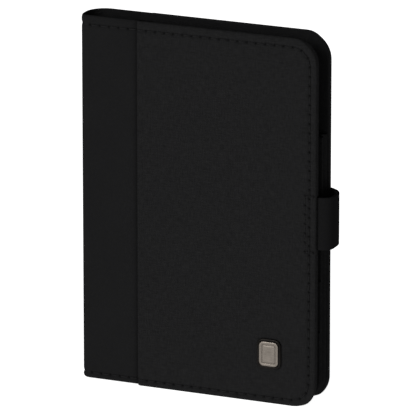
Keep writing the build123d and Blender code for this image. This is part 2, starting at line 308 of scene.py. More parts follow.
def make_piece(name, points, faces, uv, finish, sharp, hole_and_shade_mask=None):
    """A closed mesh from points in millimetres, with its cut pattern as UVs and a mask of its needle holes
    and painted shade kept for the colour.
    """
    mesh = bpy.data.meshes.new(name)
    mesh.from_pydata(place(points).tolist(), [], faces)
    layer = mesh.uv_layers.new(name="wallet")
    corners = np.empty(len(mesh.loops), int)
    mesh.loops.foreach_get("vertex_index", corners)
    layer.data.foreach_set("uv", (np.asarray(uv, float)[corners] / UV_MM).ravel())
    if hole_and_shade_mask is not None:
        marks = mesh.attributes.new("needle_hole_and_painted_shade", "FLOAT", "POINT")
        marks.data.foreach_set("value", np.asarray(hole_and_shade_mask, float))
    work = bmesh.new()
    work.from_mesh(mesh)
    bmesh.ops.recalc_face_normals(work, faces=work.faces[:])
    work.to_mesh(mesh)
    work.free()
    mesh.shade_smooth()
    mesh.set_sharp_from_angle(angle=math.radians(sharp))
    mesh.materials.append(finish)
    piece = bpy.data.objects.new(name, mesh)
    bpy.context.scene.collection.objects.link(piece)
    return piece


def at_height(plan, z):
    """Points in plan, given a height."""
    return np.column_stack([plan, np.broadcast_to(z, len(plan))])


def box_middle(low, high):
    """The middle of a box in X and Z."""
    return (low[0] + high[0]) / 2, (low[2] + high[2]) / 2


def quads(index):
    """The faces of a grid of vertex numbers."""
    a, b, c, d = index[:-1, :-1], index[:-1, 1:], index[1:, 1:], index[1:, :-1]
    return np.stack([a, b, c, d], axis=-1).reshape(-1, 4).tolist()


def rim_of(index):
    """The vertex numbers round a grid's edge."""
    return np.concatenate([index[0, :-1], index[:-1, -1], index[-1, :0:-1], index[:0:-1, 0]])


def shell(name, outer, inner, uv, finish, hole_and_shade_mask=None):
    """A closed sheet between two grids of points, joined round their rims."""
    count = outer.shape[0] * outer.shape[1]
    index = np.arange(count).reshape(outer.shape[:2])
    rim = rim_of(index)
    after = np.roll(rim, -1)
    sides = np.stack([rim, after, after + count, rim + count], axis=1).tolist()
    faces = quads(index) + quads(index[:, ::-1] + count) + sides
    points = np.concatenate([outer.reshape(-1, 3), inner.reshape(-1, 3)])
    if hole_and_shade_mask is not None:
        hole_and_shade_mask = np.concatenate([hole_and_shade_mask.ravel(), np.zeros(count)])
    return make_piece(name, points, faces, np.tile(uv.reshape(-1, 2), (2, 1)), finish, 60.0, hole_and_shade_mask)


def lathe(name, x, z, profile, finish, segments=72):
    """A turned piece about an axis along Y: profile holds (radius, y), from axis to axis."""
    turn = np.linspace(0, 2 * math.pi, segments, endpoint=False)
    points = [(x, profile[0][1], z)]
    for radius, y in profile[1:-1]:
        points += [(x + radius * math.cos(a), y, z + radius * math.sin(a)) for a in turn]
    points.append((x, profile[-1][1], z))
    last = len(points) - 1
    rings = 1 + np.arange((len(profile) - 2) * segments).reshape(-1, segments)
    faces = quads(np.concatenate([rings, rings[:, :1]], axis=1))
    faces += [(0, rings[0, k - 1], rings[0, k]) for k in range(segments)]
    faces += [(last, rings[-1, k], rings[-1, k - 1]) for k in range(segments)]
    points, faces = np.array(points), [tuple(int(v) for v in face) for face in faces]
    return make_piece(name, points, faces, points[:, [0, 2]], finish, 30.0)


def dent(distance, at, width, depth):
    """A groove's depth at a distance from an edge."""
    return depth * np.exp(-(((distance - at) / width) ** 2))


def pierced(points, needles, width):
    """How near each point lies to a needle hole: 1 in its middle, fading out over the width."""
    nearest = np.full(len(points), 1e9)
    for needle in needles:
        nearest = np.minimum(nearest, ((points - needle) ** 2).sum(axis=1))
    return np.exp(-nearest / width**2)


def sewn_low(z):
    """Heights on a cover, moved down a little away from its edges, where the stitching runs low."""
    edge = np.clip(np.minimum(z, HEIGHT - z) / 2.4, 0, 1)
    return z - SEWN_SHIFT * edge * edge * (3 - 2 * edge)


def thread_run(needles, normals):
    """Points and faces of the stitches between needle holes."""
    along = np.array([0.11, 0.18, 0.30, 0.5, 0.70, 0.82, 0.89])
    lift = np.array([-0.28, -0.08, 0.06, 0.11, 0.06, -0.08, -0.28])
    thick = THREAD * np.array([0.5, 0.85, 1.0, 1.05, 1.0, 0.85, 0.5])
    turn = np.linspace(0, 2 * math.pi, 8, endpoint=False)
    points, faces, uv = [], [], []
    for k in range(len(needles) - 1):
        a, b = needles[k], needles[k + 1]
        ahead = (b - a) / np.linalg.norm(b - a)
        up = normals[k] + normals[k + 1]
        up = up - ahead * (up @ ahead)
        up /= np.linalg.norm(up)
        side = np.cross(ahead, up)
        start = len(points)
        for t, rise, radius in zip(along, lift, thick):
            middle = a + t * (b - a) + rise * up
            for angle in turn:
                points.append(middle + radius * (math.cos(angle) * side + 0.85 * math.sin(angle) * up))
                uv.append((t * 3.7, radius * angle))
        rings = start + np.arange(len(along) * 8).reshape(-1, 8)
        faces += quads(np.concatenate([rings, rings[:, :1]], axis=1))
        faces += [rings[0, ::-1].tolist(), rings[-1].tolist()]
    return points, faces, uv


def stitches(name, runs):
    """One piece from several runs of stitches."""
    points, faces, uv = [], [], []
    for needles, normals in runs:
        p, f, t = thread_run(np.asarray(needles, float), np.asarray(normals, float))
        faces += [[v + len(points) for v in face] for face in f]
        points += p
        uv += t
    return make_piece(name, points, faces, np.array(uv), THREAD_FINISH, 60.0)


def evenly(a, b, pitch):
    """Needle holes from a to b, as near to the pitch as fits."""
    a, b = np.asarray(a, float), np.asarray(b, float)
    count = max(1, round(np.linalg.norm(b - a) / pitch))
    return a + np.linspace(0, 1, count + 1)[:, None] * (b - a)


# ---------------- woven cover panels
# Each profile is a section: (distance in from the edge or the seam, depth behind the cover's plane).
BOTTOM_STEPS = STRAIGHT_STEPS + CORNER_STEPS // 2
FORE_STEPS = SIDE_STEPS + CORNER_STEPS
FACE_PROFILE = [
    (0.0, 0.90), (0.04, 0.62), (0.12, 0.42), (0.28, 0.24), (0.52, 0.10), (0.9, 0.01), (1.5, -0.06),
    (2.1, 0.0), (2.45, 0.14), (2.75, 0.27), (3.0, 0.31), (3.25, 0.27), (3.55, 0.14), (3.95, 0.02),
    (4.6, -0.06), (5.5, -0.10), (7.0, -0.13), (9.0, -0.15),
]
WALL_PROFILE = [
    (0.62, 0.66), (0.62, 2.22), (0.45, 2.3), (0.25, 2.3), (0.08, 2.24), (0.0, 2.05), (0.0, 1.75), (0.0, 1.45),
]
SEAM_PROFILE = [
    (0.0, 0.55), (0.06, 0.42), (0.2, 0.26), (0.45, 0.10), (0.8, 0.0), (1.3, -0.04), (2.5, -0.02), (4.0, 0.0),
]


def outline(inset, left_inset):
    """The cover panel's outline from its lower corner at the seam, with the fore-edge corners rounded."""
    radius = CORNER - inset
    left, right, low, high = SEAM + left_inset, RIGHT - inset, inset, HEIGHT - inset
    turn = np.linspace(0, math.pi / 2, CORNER_STEPS, endpoint=False)
    line = np.linspace
    parts = [
        (line(left, right - radius, STRAIGHT_STEPS, endpoint=False), np.full(STRAIGHT_STEPS, low)),
        (right - radius + radius * np.sin(turn), low + radius - radius * np.cos(turn)),
        (np.full(SIDE_STEPS, right), line(low + radius, high - radius, SIDE_STEPS, endpoint=False)),
        (right - radius + radius * np.cos(turn), high - radius + radius * np.sin(turn)),
        (line(right - radius, left, STRAIGHT_STEPS, endpoint=False), np.full(STRAIGHT_STEPS, high)),
        (np.full(FORE_STEPS, left), line(high, low, FORE_STEPS, endpoint=False)),
    ]
    return np.concatenate([np.stack(part, axis=1) for part in parts])


def edge_distance(x, z):
    """How far a place on a cover lies from its outer edge."""
    up = np.maximum(np.abs(z - MIDDLE) - (MIDDLE - CORNER), 0)
    out = np.maximum(x - (RIGHT - CORNER), 0)
    flat = np.minimum(RIGHT - x, MIDDLE - np.abs(z - MIDDLE))
    return np.where((up > 0) & (out > 0), CORNER - np.hypot(up, out), flat)


def face_depth(x, z):
    """How far a cover panel's face lies behind the cover's plane."""
    edge = np.interp(edge_distance(x, z), *np.array(FACE_PROFILE).T)
    seam = np.interp(x - SEAM, *np.array(SEAM_PROFILE).T)
    return edge + seam


def make_cover_panel(name, cover, notch, presses, needles):
    """A woven panel, padded, stitched near its edge and turned over the board."""
    count = 2 * (BOTTOM_STEPS + FORE_STEPS)
    at_seam = np.arange(count) > count - FORE_STEPS
    rings, ring_uv = [], []
    for inset, depth in WALL_PROFILE:
        line = outline(inset, 0.0)
        depths = np.full(count, depth)
        if notch is not None:
            inside = (line[:, 0] > RIGHT - 1) & (line[:, 1] > notch[0]) & (line[:, 1] < notch[1])
            depths[inside] = np.minimum(depths[inside], 1.05)
        depths[at_seam] = np.minimum(depths[at_seam], 0.62)
        rings.append(np.column_stack([line[:, 0], depths, line[:, 1]]))
        ring_uv.append(outline(-max(0.0, depth - 0.95) - 0.3, 0.0))
    for inset, _ in FACE_PROFILE:
        line = outline(inset, 0.22 * inset)
        depths = face_depth(line[:, 0], line[:, 1])
        rings.append(np.column_stack([line[:, 0], depths, sewn_low(line[:, 1])]))
        ring_uv.append(line)
    loops = np.array(rings)
    last = loops[-1]
    numbers = np.arange(loops.shape[0] * count).reshape(-1, count)
    faces = quads(np.concatenate([numbers, numbers[:, :1]], axis=1))
    faces.append(numbers[0].tolist())

    def four_sides(ring):
        """A closed ring's lower side, fore-edge, upper side and seam, all running right or up."""
        corner = np.cumsum([0, BOTTOM_STEPS, FORE_STEPS, BOTTOM_STEPS, FORE_STEPS])
        sides = [ring[a : b + 1] for a, b in zip(corner, corner[1:])]
        return sides[0], sides[1], sides[2][::-1], sides[3][::-1]

    low, fore, top, seam = four_sides(np.concatenate([last, last[:1]])[:, [0, 2]])
    u = np.linspace(0, 1, BOTTOM_STEPS + 1)[None, :, None]
    v = np.linspace(0, 1, FORE_STEPS + 1)[:, None, None]
    plan = (1 - v) * low[None] + v * top[None] + (1 - u) * seam[:, None] + u * fore[:, None]
    plan -= (1 - u) * (1 - v) * low[0] + u * (1 - v) * low[-1] + (1 - u) * v * top[0] + u * v * top[-1]
    depths = face_depth(plan[..., 0], plan[..., 1])
    for x, z, half_x, half_z, depth in presses:
        past_x = np.maximum(np.abs(plan[..., 0] - x) - half_x, 0)
        away = np.hypot(past_x, np.maximum(np.abs(plan[..., 1] - z) - half_z, 0))
        depths += depth * np.exp(-((away / 1.6) ** 2))
    grid = np.empty((FORE_STEPS + 1, BOTTOM_STEPS + 1), int)
    grid[0], grid[:, -1], grid[-1], grid[:, 0] = four_sides(np.append(numbers[-1], numbers[-1][0]))
    free = np.arange((FORE_STEPS - 1) * (BOTTOM_STEPS - 1))
    grid[1:-1, 1:-1] = numbers.size + free.reshape(FORE_STEPS - 1, -1)
    inner = np.stack([plan[..., 0], depths, plan[..., 1]], axis=-1)[1:-1, 1:-1].reshape(-1, 3)
    faces += quads(grid)

    points = np.concatenate([loops.reshape(-1, 3), inner])
    on_face = np.arange(len(points)) >= len(WALL_PROFILE) * count
    # The needle holes dip the face; the same mask darkens the colour: the holes themselves and painted shade
    # round them.
    hole_and_shade_mask = np.where(on_face, pierced(points[:, [0, 2]], needles[:, [0, 2]], HOLE_WIDTH), 0.0)
    points[:, 1] += 0.22 * hole_and_shade_mask
    points[:, 0] -= cover["trim"] * np.clip((points[:, 0] - RIGHT + 2.5) / 2.5, 0, 1) ** 2
    points[:, 1] = cover["face"] + cover["sign"] * points[:, 1]
    uv = np.concatenate([np.array(ring_uv).reshape(-1, 2), inner[:, [0, 2]]])
    return make_piece(name, points, faces, uv, FABRIC, 60.0, hole_and_shade_mask)


def cover_needles(cover):
    """The needle holes along a woven panel's edge, from the seam round to the seam."""
    line = outline(STITCH_INSET, 0.0)[: 2 * BOTTOM_STEPS + FORE_STEPS + 1 : PER_STITCH]
    y = cover["face"] + cover["sign"] * 0.22
    return np.column_stack([line[:, 0], np.full(len(line), y), sewn_low(line[:, 1])])


# ---------------- spine wrap and linings
def cover_path(distance, fold, cover):
    """Places in plan along a sheet that runs from a cover round a fold to the spine, with the way inwards.
    The distance counts from the seam towards the spine."""
    spine, sign = cover["spine"], cover["sign"]
    straight = SEAM - fold["x"]
    turn = fold["radius"] * math.pi / 2
    along = np.asarray(distance, float)
    angle = np.clip((along - straight) / fold["radius"], 0, math.pi / 2)
    x = fold["x"] + np.maximum(straight - along, 0) - fold["radius"] * np.sin(angle)
    y = spine - sign * fold["radius"] * np.cos(angle) + sign * np.maximum(along - straight - turn, 0)
    return np.stack([x, y], axis=1), np.stack([np.sin(angle), sign * np.cos(angle)], axis=1)


def path_length(fold, cover):
    """How far it is along a sheet from the seam to the middle of the spine."""
    return SEAM - fold["x"] + fold["radius"] * math.pi / 2 + abs(SPINE_CUT - cover["spine"])


# The wrap's edge: (distance in, depth) of its outer side and then of its inner side.
WRAP_EDGE = [
    (0.06, 0.56, 0.63, 0.62), (0.22, 0.30, 0.66, 0.61), (0.5, 0.12, 0.72, 0.6), (0.9, 0.02, 0.95, 0.6),
    (1.5, -0.05, 1.5, 0.6), (2.05, 0.0, 2.05, 0.6), (2.45, 0.12, 2.45, 0.6), (2.75, 0.21, 2.75, 0.62),
    (3.0, 0.25, 3.0, 0.64), (3.25, 0.21, 3.25, 0.62), (3.55, 0.12, 3.55, 0.6), (4.0, 0.02, 4.0, 0.6),
    (4.8, 0.0, 4.8, 0.6),
]


def make_wrap_half(name, cover, steps):
    """The smooth wrap from the seam to the middle of the spine, with its edges turned in."""
    fold = cover["wrap_fold"]
    length = path_length(fold, cover)
    lap = [-6.0, -4.0, -2.0, -1.0, -0.35]
    distance = np.concatenate([lap, np.linspace(0, length, steps + 1)])
    path, inward = cover_path(distance, fold, cover)
    under = np.interp(distance, [-0.5, 0.0, 0.5, 1.2, 2.2, 3.6], [0.44, 0.42, 0.34, 0.20, 0.06, 0.0])
    turned = np.interp(path[:, 0], [LINING_X + 2, fold["x"] + 2.0], [1.25, 1.8])

    lower = []
    for outset, deep, in_outset, in_deep in (
        (1.2, 0.0, 1.2, -0.55), (0.5, 0.0, 0.68, -0.55), (0.12, -0.1, 0.64, -0.56), (0.0, -0.4, 0.62, -0.6)
    ):
        lower.append((outset, turned + deep, in_outset, np.maximum(turned + in_deep, 0.64)))
    lower.append((0.0, np.full(len(path), 0.75), 0.62, np.full(len(path), 0.63)))
    for edge, depth, in_edge, in_depth in WRAP_EDGE:
        lower.append((edge, np.minimum(depth + under, 0.46), in_edge, np.full(len(path), in_depth + 0.5)))
    middles = np.linspace(WRAP_EDGE[-1][0], HEIGHT - WRAP_EDGE[-1][0], 50)[1:-1]

    rows = lower + [(z, under, z, np.full(len(path), 1.1)) for z in middles]
    rows += [(HEIGHT - z, depth, HEIGHT - in_z, in_depth) for z, depth, in_z, in_depth in lower[::-1]]
    outer, inner = [], []
    for z, depth, in_z, in_depth in rows:
        for grid, height, deep in ((outer, z, depth), (inner, in_z, in_depth)):
            at = path + inward * np.reshape(deep, (-1, 1))
            grid.append(at_height(at, sewn_low(height) + raised(height)))
    outer, inner = np.array(outer), np.array(inner)
    needles = [wrap_needles(cover, steps, height)[0] for height in (STITCH_INSET, HEIGHT - STITCH_INSET)]
    hole_and_shade_mask = pierced(outer.reshape(-1, 3), np.concatenate(needles), HOLE_WIDTH).reshape(outer.shape[:2])
    outer[..., :2] += (0.1 * hole_and_shade_mask)[..., None] * inward[None]
    # Painted shade in the crease along the seam, within about a millimetre of it, added to the mask that
    # darkens the colour.
    hole_and_shade_mask = np.maximum(hole_and_shade_mask, 0.42 * np.exp(-((np.maximum(distance, 0) / 1.1) ** 2))[None])
    across = np.cumsum(np.r_[0, np.linalg.norm(np.diff(outer[:, len(path) // 2], axis=0), axis=1)])
    uv = np.stack(np.broadcast_arrays(distance[None, :], across[:, None]), axis=-1)
    return shell(name, outer, inner, uv, WRAP, hole_and_shade_mask)


def raised(z):
    """The wrap's lower edge stands a little higher than the woven panels' edges."""
    return 0.45 * np.clip(1 - z / 9.0, 0, 1)


def wrap_needles(cover, steps, z):
    """Needle holes along the wrap's lower or upper edge, from the seam to the middle of the spine."""
    fold = cover["wrap_fold"]
    distance = np.linspace(0, path_length(fold, cover), steps // PER_STITCH + 1)
    path, inward = cover_path(distance, fold, cover)
    return at_height(path + inward * 0.16, sewn_low(z) + raised(z)), at_height(-inward, 0.0)


def corner_rows(low, high, corner_low, corner_high, middle_rows):
    """Heights of a sheet's rows, close together where its fore-edge corners are rounded."""
    turn = np.linspace(0, math.pi / 2, 13)
    rows = [low + corner_low - corner_low * np.cos(turn)] if corner_low else [np.array([low])]
    rows.append(np.linspace(low + corner_low, high - corner_high, middle_rows)[1:-1])
    rows.append(high - corner_high + corner_high * np.sin(turn) if corner_high else np.array([high]))
    return np.concatenate(rows)


def fore_x(z, low, high, right, corner_low, corner_high):
    """Where each row ends at the fore-edge."""
    drop_low = np.clip(low + corner_low - z, 0, corner_low)
    drop_high = np.clip(z - (high - corner_high), 0, corner_high)
    cut = corner_low - np.sqrt(corner_low**2 - drop_low**2)
    cut = cut + corner_high - np.sqrt(corner_high**2 - drop_high**2)
    return right - cut


def make_lining_half(name, cover, node):
    """The woven lining from the fore-edge to the middle of the spine."""
    low, high = span(node)
    fold = cover["lining_fold"]
    corner = CORNER - low[2]
    rows = corner_rows(low[2], high[2], corner, corner, 40)
    right = fore_x(rows, low[2], high[2], high[0], corner, corner)
    flat_x = fold["x"] + 4.0
    share = np.array([0, 0.002, 0.006, 0.015, 0.04, 0.1, 0.2, 0.3, 0.4, 0.5, 0.6, 0.7, 0.8, 0.9, 1.0])
    length = path_length(fold, cover)
    near = np.linspace(SEAM - flat_x, length, 26)[1:]
    path, inward = cover_path(near, fold, cover)
    columns = len(share) + len(near)
    edge = np.concatenate([[0.35, 0.75, 1.0], np.ones(columns - 3)])
    squeeze = np.interp(np.arange(len(rows)), [0, 1, 2, len(rows) - 3, len(rows) - 2, len(rows) - 1],
                        [0.35, 0.8, 1.0, 1.0, 0.8, 0.35])
    outer, inner = np.empty((len(rows), columns, 3)), np.empty((len(rows), columns, 3))
    uv = np.empty((len(rows), columns, 2))
    narrow = np.interp(path[:, 0], [LINING_X + 2.0, fold["x"] + 3.0], [1.0, 0.0])
    for r, (z, end) in enumerate(zip(rows, right)):
        x = end + share * (flat_x - end)
        flat = np.stack([x, np.full(len(x), cover["lining"])], axis=1)
        both = np.concatenate([flat, path])
        way = np.concatenate([np.tile([0.0, cover["sign"]], (len(x), 1)), inward])
        height = z + (MIDDLE - z) / MIDDLE * np.concatenate([np.zeros(len(x)), narrow])
        thick = LINING_THICK * edge * squeeze[r]
        outer[r] = at_height(both + way * ((LINING_THICK - thick) / 2)[:, None], height)
        inner[r] = at_height(both + way * ((LINING_THICK + thick) / 2)[:, None], height)
        uv[r] = np.stack([np.concatenate([SEAM - x, near]), height], axis=1)
    return shell(name, outer, inner, uv, LINING)


# ---------------- flat sheets inside
def make_sheet(name, node, front_y, back_y, corner_low, corner_high, finish, hem=None, seams=()):
    """A flat sheet with its fore-edge corners rounded. A hem is a turned edge along the top or the left."""
    low, high = span(node)
    left = low[0]
    rows = corner_rows(low[2], high[2], corner_low, corner_high, 60)
    hem_offsets = np.array([0.0, 0.12, 0.35, 0.8, 1.4, 1.8, 2.1, 2.4, 2.8, 3.6, 4.6, 5.0, 5.5, 7.0])
    if hem == "top":
        rows = np.concatenate([rows[rows < high[2] - 8.0], (high[2] - hem_offsets)[::-1]])
    right = fore_x(rows, low[2], high[2], high[0], corner_low, corner_high)
    near = np.array([0.0, 0.1, 0.3, 0.8, 1.6, 2.1, 2.5, 2.9, 3.4, 4.5, 5.0, 5.5, 7.0])
    wide = np.linspace(0, 1, 34)[1:-1]
    x = np.hstack([
        np.tile(left + near, (len(rows), 1)),
        (left + 7.0) + (right[:, None] - left - 14.0) * wide,
        right[:, None] - near[::-1],
    ])
    z = np.tile(rows[:, None], (1, x.shape[1]))
    from_top, from_left = high[2] - z, x - left
    thin = np.minimum.reduce([from_left, right[:, None] - x, from_top, z - low[2]]) / 0.3
    half = abs(back_y - front_y) / 2 * np.clip(0.3 + 0.7 * np.sqrt(np.clip(thin, 0, 1)), 0, 1)
    middle = (front_y + back_y) / 2
    out = np.sign(front_y - back_y)
    face = half.copy()
    if hem is not None:
        away = from_top if hem == "top" else from_left
        face = face + np.interp(away, [0.0, 0.5, 4.6, 5.3], [0.0, 0.14, 0.14, 0.0])
        face = face - dent(away, HEM_INSET, 0.35, 0.16)
    for seam in seams:
        away = {"left": from_left, "right": right[:, None] - x, "bottom": z - low[2]}[seam]
        face = face - dent(away, 2.5, 0.45, 0.12)
    outer = np.stack([x, middle + out * face, z], axis=-1)
    inner = np.stack([x, middle - out * half, z], axis=-1)
    uv = np.stack([x, z], axis=-1)
    return shell(name, outer, inner, uv, finish)


def make_gusset(name, node):
    """The bellows round three sides of the passport pocket, with one fold inwards."""
    low, high = span(node)
    corner, small = CORNER - low[2], 1.5
    fore = np.linspace(high[2], low[2] + corner, 26)
    turn = np.linspace(0, math.pi / 2, 14)[1:]
    base = np.linspace(high[0] - corner, low[0] + small, 30)[1:]
    tight = np.linspace(0, math.pi / 2, 7)[1:]
    side = np.linspace(low[2] + small, high[2], 20)[1:]
    fore_way = np.column_stack([-np.cos(turn), np.sin(turn)])
    spine_way = np.column_stack([np.sin(tight), np.cos(tight)])
    places = np.concatenate([
        np.column_stack([np.full(26, high[0]), fore]),
        np.array([high[0] - corner, low[2] + corner]) - corner * fore_way,
        np.column_stack([base, np.full(29, low[2])]),
        np.array([low[0] + small, low[2] + small]) - small * spine_way,
        np.column_stack([np.full(19, low[0]), side]),
    ])
    ways = np.concatenate([
        np.tile([-1.0, 0.0], (26, 1)), fore_way, np.tile([0.0, 1.0], (29, 1)), spine_way,
        np.tile([1.0, 0.0], (19, 1)),
    ])
    run = np.cumsum(np.r_[0, np.linalg.norm(np.diff(places, axis=0), axis=1)])
    end_of_base = run[len(fore) + len(turn) + len(base) - 1]
    fold = np.interp(run, [end_of_base - 18.0, end_of_base - 2.0], [1.7, 0.12])
    middle_y, half_y = (low[1] + high[1]) / 2, (high[1] - low[1]) / 2
    section = [(0.75, 0.99, 0.0), (0.35, 0.985, 0.0), (0.12, 0.9, 0.0), (0.1, 0.75, 0.12), (0.15, 0.5, 0.45),
               (0.2, 0.25, 0.82), (0.22, 0.1, 0.97), (0.24, 0.0, 1.0)]
    section += [(a, -b, c) for a, b, c in section[-2::-1]]
    outer, inner, uv = [], [], []
    for k, (base_in, across, share) in enumerate(section):
        for grid, extra in ((outer, 0.0), (inner, 0.5)):
            depth = base_in + share * fold + extra
            at = places + ways * depth[:, None]
            y = middle_y + across * half_y * (0.86 if extra and k in (0, len(section) - 1) else 1.0)
            grid.append(np.column_stack([at[:, 0], np.full(len(at), y), at[:, 1]]))
        uv.append(at_height(run[:, None], across * half_y))
    return shell(name, np.array(outer), np.array(inner), np.array(uv), POCKET)


# ---------------- strap
STRAP_LOW, STRAP_HIGH = span("strap_outer_root")
STRAP_Z = (STRAP_LOW[2] + STRAP_HIGH[2]) / 2
STRAP_HALF = (STRAP_HIGH[2] - STRAP_LOW[2]) / 2
STRAP_HALF_THICK = (span("strap_lining_root")[1][1] - STRAP_LOW[1]) / 2
ROOT_X = STRAP_LOW[0]
ROOT_Y = STRAP_LOW[1] + STRAP_HALF_THICK
TIP_X = span("strap_outer_flap")[0][0]
FLAP_Y = span("strap_outer_flap")[1][1] - STRAP_HALF_THICK
SIDE_X = span("strap_outer_bend")[1][0] - STRAP_HALF_THICK
BEND_1, BEND_2 = 3.6, 7.2
BEND_1_CENTRE = np.array([SIDE_X - BEND_1, ROOT_Y + BEND_1])
BEND_2_CENTRE = np.array([SIDE_X - BEND_2, FLAP_Y - BEND_2])
TIP_RADIUS = 6.0


def strap_path():
    """The strap's middle line in plan, from inside the cover round the fore-edge to the flap's tip, with the
    way outwards and the place half way down the side, where its two pieces meet."""
    turn = np.linspace(0, math.pi / 2, 21)[1:]
    root = np.linspace(ROOT_X, BEND_1_CENTRE[0], 12)
    side = np.linspace(BEND_1_CENTRE[1], BEND_2_CENTRE[1], 9)[1:]
    tip_turn = np.linspace(0, math.pi / 2, 10)
    flap = np.linspace(BEND_2_CENTRE[0], TIP_X + TIP_RADIUS, 14)[1:-1]
    flap = np.concatenate([flap, TIP_X + TIP_RADIUS - TIP_RADIUS * np.sin(tip_turn)])
    first_way = np.stack([np.sin(turn), -np.cos(turn)], axis=1)
    second_way = np.stack([np.cos(turn), np.sin(turn)], axis=1)
    line = np.concatenate([
        np.column_stack([root, np.full(len(root), ROOT_Y)]),
        BEND_1_CENTRE + BEND_1 * first_way,
        np.column_stack([np.full(len(side), SIDE_X), side]),
        BEND_2_CENTRE + BEND_2 * second_way,
        np.column_stack([flap, np.full(len(flap), FLAP_Y)]),
    ])
    root_way, side_way = np.tile([0.0, -1.0], (len(root), 1)), np.tile([1.0, 0.0], (len(side), 1))
    flap_way = np.tile([0.0, 1.0], (len(flap), 1))
    outward = np.concatenate([root_way, first_way, side_way, second_way, flap_way])
    eased = np.clip((line[:, 0] - BEND_1_CENTRE[0]) / (SIDE_X - BEND_1_CENTRE[0]), 0, 1)
    line[:, 0] += 0.65 * eased * eased * (3 - 2 * eased)
    return line, outward, len(root) + len(turn) + len(side) // 2


def make_strap_layer(name, part, faces_out, finish):
    """One layer of one half of the strap: its outer skin, or its lining a little narrower."""
    line, outward, cut = strap_path()
    keep = slice(0, cut + 1) if part == "near" else slice(cut, None)
    run = np.cumsum(np.r_[0, np.linalg.norm(np.diff(line, axis=0), axis=1)])[keep]
    line, outward = line[keep], outward[keep]
    from_tip = np.clip(line[:, 0] - TIP_X, 0, TIP_RADIUS) if part == "far" else np.full(len(line), TIP_RADIUS)
    from_tip = np.where(line[:, 1] > FLAP_Y - 0.5, from_tip, TIP_RADIUS)
    half = STRAP_HALF - TIP_RADIUS + np.sqrt(TIP_RADIUS**2 - (TIP_RADIUS - from_tip) ** 2)
    if faces_out:
        edge = np.array([0.0, 0.02, 0.1, 0.28, 0.6, 1.0, 1.3, 1.6, 2.2, 3.5, 5.5, 8.0])
        top = np.array([0.12, 0.34, 0.48, 0.56, 0.6, 0.585, 0.565, 0.585, 0.6, 0.61, 0.615, 0.62])
        inset = 0.0
    else:
        edge = np.array([0.0, 0.05, 0.2, 0.5, 1.5, 4.0, 8.0])
        top = np.array([-0.25, -0.45, -0.55, -0.6, -0.6, -0.6, -0.6])
        inset = 0.25
    base = -0.1
    narrowed = np.maximum(half - inset, 0.4)
    offsets = np.concatenate([edge, [np.nan], edge[::-1]])
    tops = np.concatenate([top, [top[-1]], top[::-1]])
    outer, inner, uv = [], [], []
    for k, (offset, rise) in enumerate(zip(offsets, tops)):
        scale = narrowed / (STRAP_HALF - inset)
        if np.isnan(offset):
            z = np.full(len(line), STRAP_Z)
        else:
            side = -1 if k < len(edge) else 1
            z = STRAP_Z + side * (narrowed - offset * scale)
        outer.append(at_height(line + outward * rise, z))
        inner.append(at_height(line + outward * base, z))
        uv.append(np.column_stack([run, z]))
    return shell(name, np.array(outer), np.array(inner), np.array(uv), finish)


# ---------------- plaque and snap
def rounded_loop(x, z, width, tall, corner, steps=10):
    """A rounded rectangle's outline."""
    turn = np.linspace(0, math.pi / 2, steps)
    corner = max(corner, 0.05)
    parts = []
    for right, up, start in ((1, 1, 0.0), (-1, 1, 0.5), (-1, -1, 1.0), (1, -1, 1.5)):
        angle = turn + start * math.pi
        centre = np.array([x + right * (width / 2 - corner), z + up * (tall / 2 - corner)])
        parts.append(centre + corner * np.column_stack([np.cos(angle), np.sin(angle)]))
    return np.concatenate(parts)


def make_plate(name, node_box, corner, profile, finish):
    """A small rounded plate from loops of (inset, height above the cover)."""
    low, high = node_box
    x, z = box_middle(low, high)
    width, tall = high[0] - low[0], high[2] - low[2]
    loops = []
    for inset, proud in profile:
        loop = rounded_loop(x, z, width - 2 * inset, tall - 2 * inset, corner - inset)
        loops.append(np.stack([loop[:, 0], np.full(len(loop), -proud), loop[:, 1]], axis=1))
    count = len(loops[0])
    numbers = np.arange(len(loops) * count).reshape(-1, count)
    faces = quads(np.concatenate([numbers, numbers[:, :1]], axis=1))
    faces += [numbers[0].tolist(), numbers[-1].tolist()]
    points = np.concatenate(loops)
    return make_piece(name, points, faces, points[:, [0, 2]], finish, 35.0)


# ---------------- assembly
def blend_fold(piece):
    """Bakes the piece's placement into its points."""
    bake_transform(piece)


front, back = COVERS["front"], COVERS["back"]
plate_low, plate_high = span("emblem_plate")
bezel_low, bezel_high = span("emblem_bezel")
plaque = box_middle(plate_low, plate_high)
snap_low, snap_high = span("snap_cap")
SNAP_X, SNAP_Z = box_middle(snap_low, snap_high)

strap_notch = (STRAP_LOW[2] - 0.05, STRAP_HIGH[2] + 0.05)
tack_x, tack_low, tack_high = RIGHT - STITCH_INSET - 1.7, STRAP_LOW[2] - 0.7, STRAP_HIGH[2] + 0.7
tacks = [
    evenly((tack_x, 0.02, tack_low), (tack_x, 0.02, tack_high), 3.65),
    evenly((tack_x, 0.02, tack_low), (RIGHT - 1.1, 0.02, tack_low), 1.9),
    evenly((tack_x, 0.02, tack_high), (RIGHT - 1.1, 0.02, tack_high), 1.9),
]
plaque_press = (*plaque, (bezel_high[0] - bezel_low[0]) / 2, (bezel_high[2] - bezel_low[2]) / 2, 0.15)
snap_press = (SNAP_X, SNAP_Z, 4.5, 4.5, 0.15)

